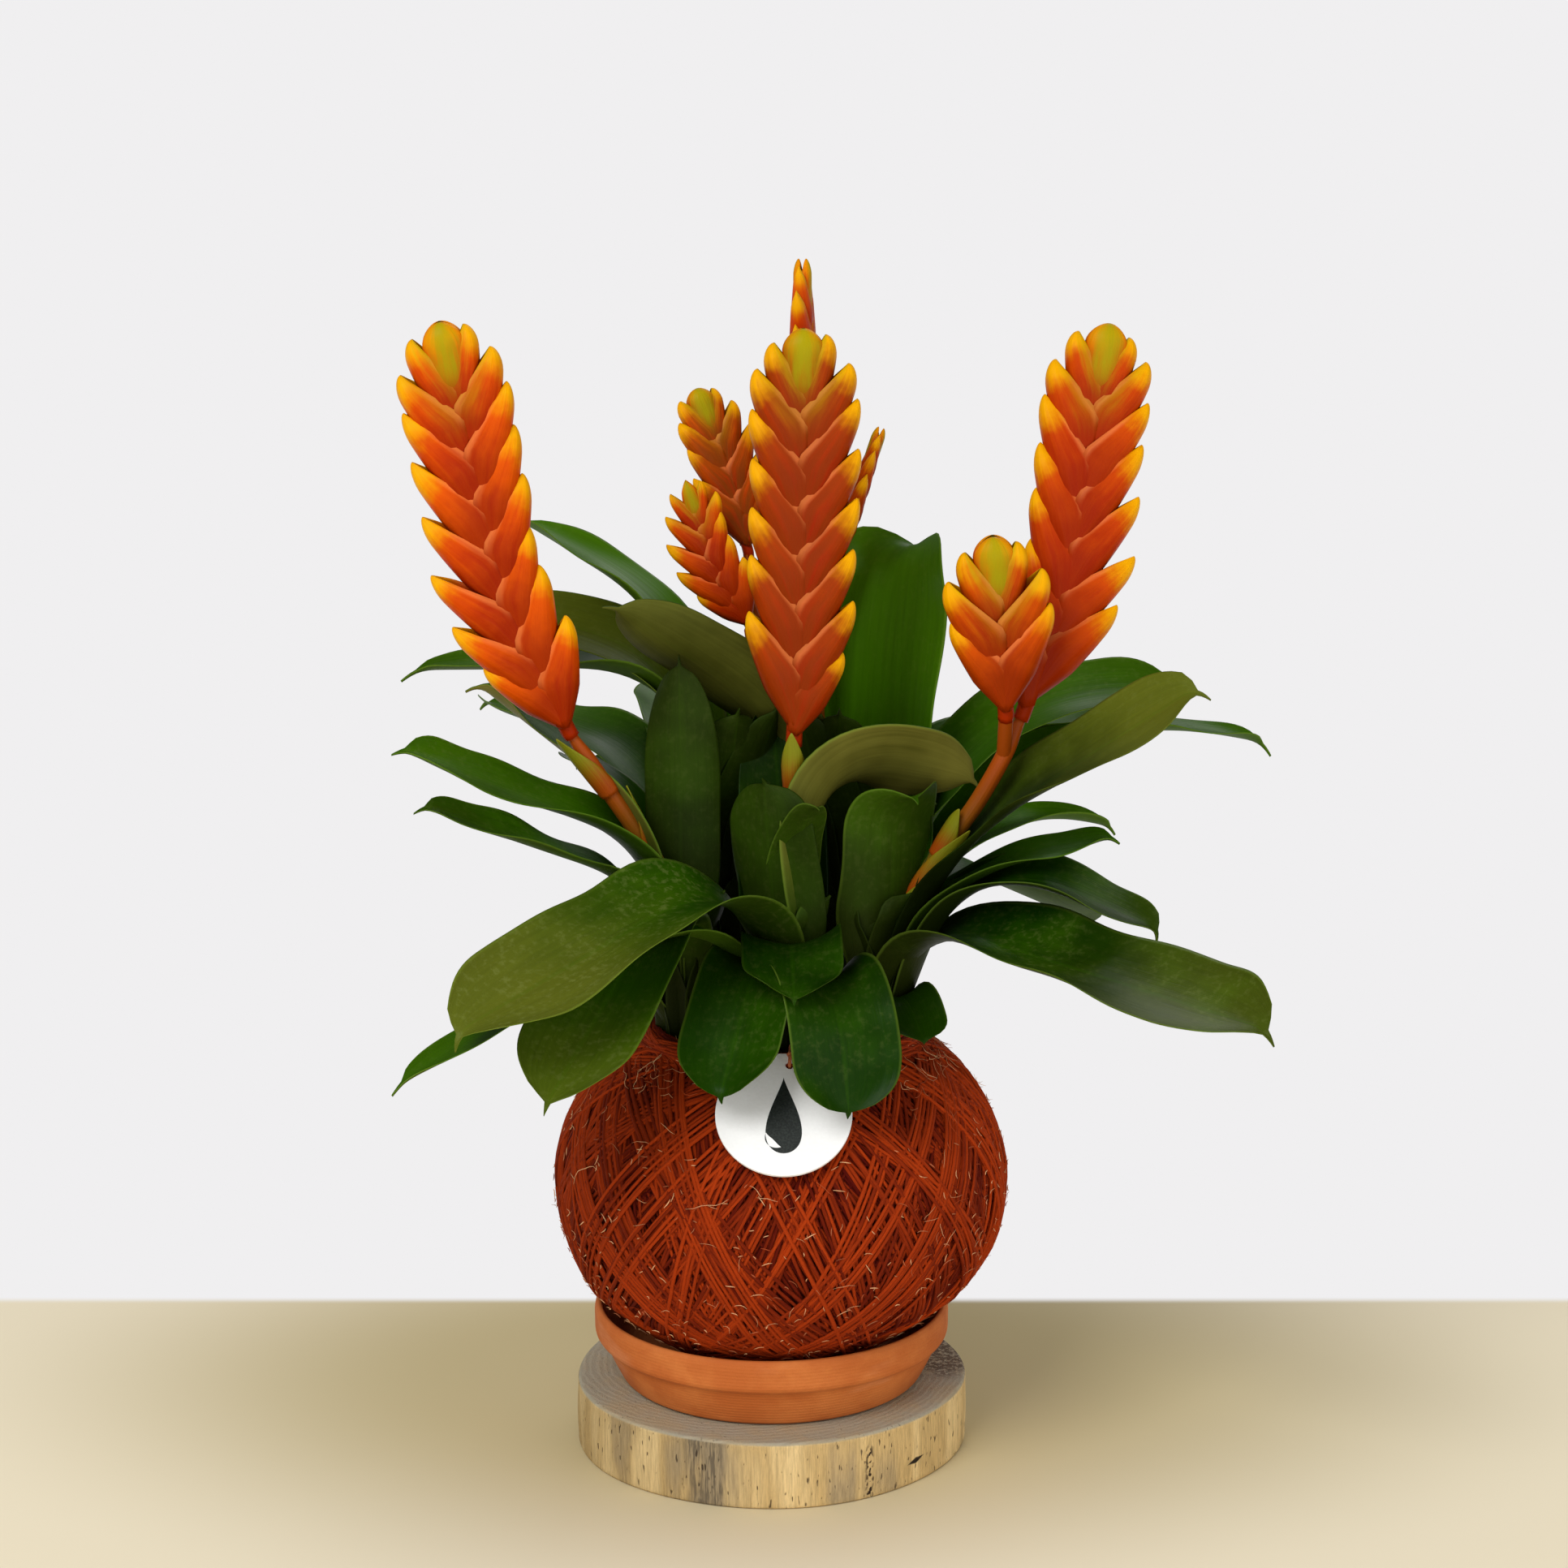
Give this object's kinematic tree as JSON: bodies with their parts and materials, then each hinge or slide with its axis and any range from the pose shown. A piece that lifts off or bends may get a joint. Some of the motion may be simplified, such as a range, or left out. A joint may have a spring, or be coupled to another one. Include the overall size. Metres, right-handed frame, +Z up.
{
  "type": "vriesea kokedama",
  "caption": "Flowering bromeliads with flat feather-like spikes growing from a ball wound in coir yarn, set in a clay dish on a wood slice, with a round tag",
  "frame": {"origin": "centre of the wood slice's underside", "axes": "+Z up from the wood slice through the ball to the flower spikes, -Y to the front where the tag leans, +X to the viewer's right"},
  "size_m": [0.3191, 0.2786, 0.4181],
  "materials": {
    "wood": "matte",
    "clay": "matte",
    "coir": "matte",
    "soil": "matte",
    "card": "satin",
    "thread": "matte",
    "leaf": "satin",
    "bract": "satin"
  },
  "bodies": {
    "root": {"wood_slice": "wood", "clay_dish": "clay", "coir_wrap": "coir", "soil": "soil", "tag_disc": "card", "tag_cord": "thread", "plant_left": "leaf", "spike_left_1": "bract", "plant_centre": "leaf", "spike_centre_1": "bract", "plant_right": "leaf", "spike_right_1": "bract", "spike_right_2": "bract", "plant_back_right": "leaf", "spike_back_right_1": "bract", "spike_back_right_2": "bract", "plant_back_left": "leaf", "spike_back_left_1": "bract", "spike_back_left_2": "bract"}
  },
  "joints": []
}
